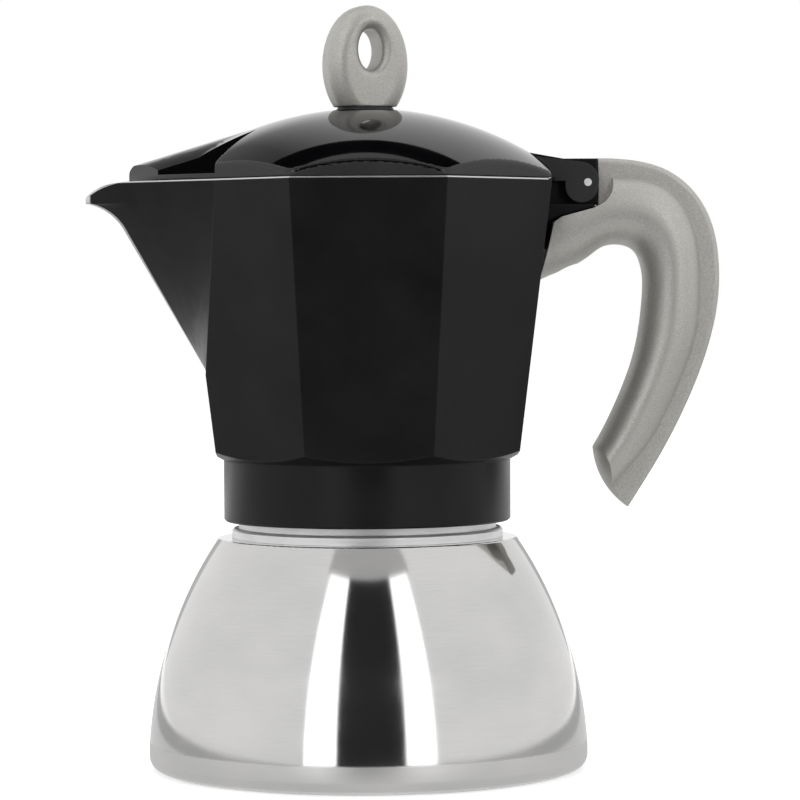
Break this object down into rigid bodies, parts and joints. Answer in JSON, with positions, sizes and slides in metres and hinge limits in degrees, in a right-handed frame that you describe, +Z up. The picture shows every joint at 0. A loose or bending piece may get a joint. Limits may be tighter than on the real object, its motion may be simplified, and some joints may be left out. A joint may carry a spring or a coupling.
{
  "type": "moka pot",
  "caption": "Stove-top moka pot: bell-shaped steel boiler, octagonal black collector with spout, domed hinged lid with ring knob, hooked grey handle.",
  "frame": {"origin": "on the table, under the pot's vertical axis", "axes": "+Z up, spout towards -X, handle towards +X, safety valve towards +Y"},
  "size_m": [0.166, 0.1172, 0.2],
  "materials": {
    "polished_steel": "polished",
    "bare_aluminium": "satin",
    "brass": "turned",
    "fibre": "matte",
    "spring_steel": "bright",
    "silicone": "matte",
    "black_enamel": "satin",
    "black_gloss": "gloss",
    "grey_soft_touch": "satin metallic",
    "black_washer": "matte"
  },
  "bodies": {
    "boiler": {"boiler_shell": "polished_steel", "boiler_liner": "bare_aluminium", "valve_body": "brass", "valve_washer": "fibre", "valve_nut": "brass", "valve_cap": "brass", "valve_spring": "spring_steel"},
    "plunger": {"valve_piston": "brass"},
    "funnel": {"funnel": "bare_aluminium", "funnel_plate": "bare_aluminium"},
    "gasket": {"gasket": "silicone"},
    "filter": {"filter_plate": "bare_aluminium"},
    "collector": {"collector": "black_enamel", "handle": "grey_soft_touch", "handle_screw": "spring_steel", "hinge_pin": "spring_steel"},
    "lid": {"lid": "black_gloss", "knob": "grey_soft_touch", "knob_washer": "black_washer", "knob_screw": "spring_steel"}
  },
  "joints": [
    {"name": "valve_lift", "type": "slide", "parent": "boiler", "child": "plunger", "axis": [0, 0.9211, 0.3893], "range_m": [0, 0.0015], "stiffness_N_per_m": 300, "springref_m": -0.005, "deforming": ["valve_spring"]},
    {"name": "collector_lift", "type": "slide", "parent": "boiler", "child": "gasket", "axis": [0, 0, 1], "range_m": [0, 0.16]},
    {"name": "funnel_lift", "type": "slide", "parent": "boiler", "child": "funnel", "axis": [0, 0, 1], "range_m": [0, 0.08]},
    {"name": "thread_rise", "type": "slide", "parent": "gasket", "child": "filter", "axis": [0, 0, 1], "range_m": [0, 0.00825]},
    {"name": "collector_turn", "type": "hinge", "parent": "filter", "child": "collector", "pos_m": [0, 0, 0.08], "axis": [0, 0, 1], "range_deg": [0, 990]},
    {"name": "lid_hinge", "type": "hinge", "parent": "collector", "child": "lid", "pos_m": [0.05785, 0, 0.15335], "axis": [0, 1, 0], "range_deg": [0, 100]}
  ],
  "couplings": [
    {"joint": "thread_rise", "follows": "collector_turn", "m_per_rad": 0.00047746},
    {"joint": "funnel_lift", "follows": "collector_lift", "ratio": 0.5}
  ]
}
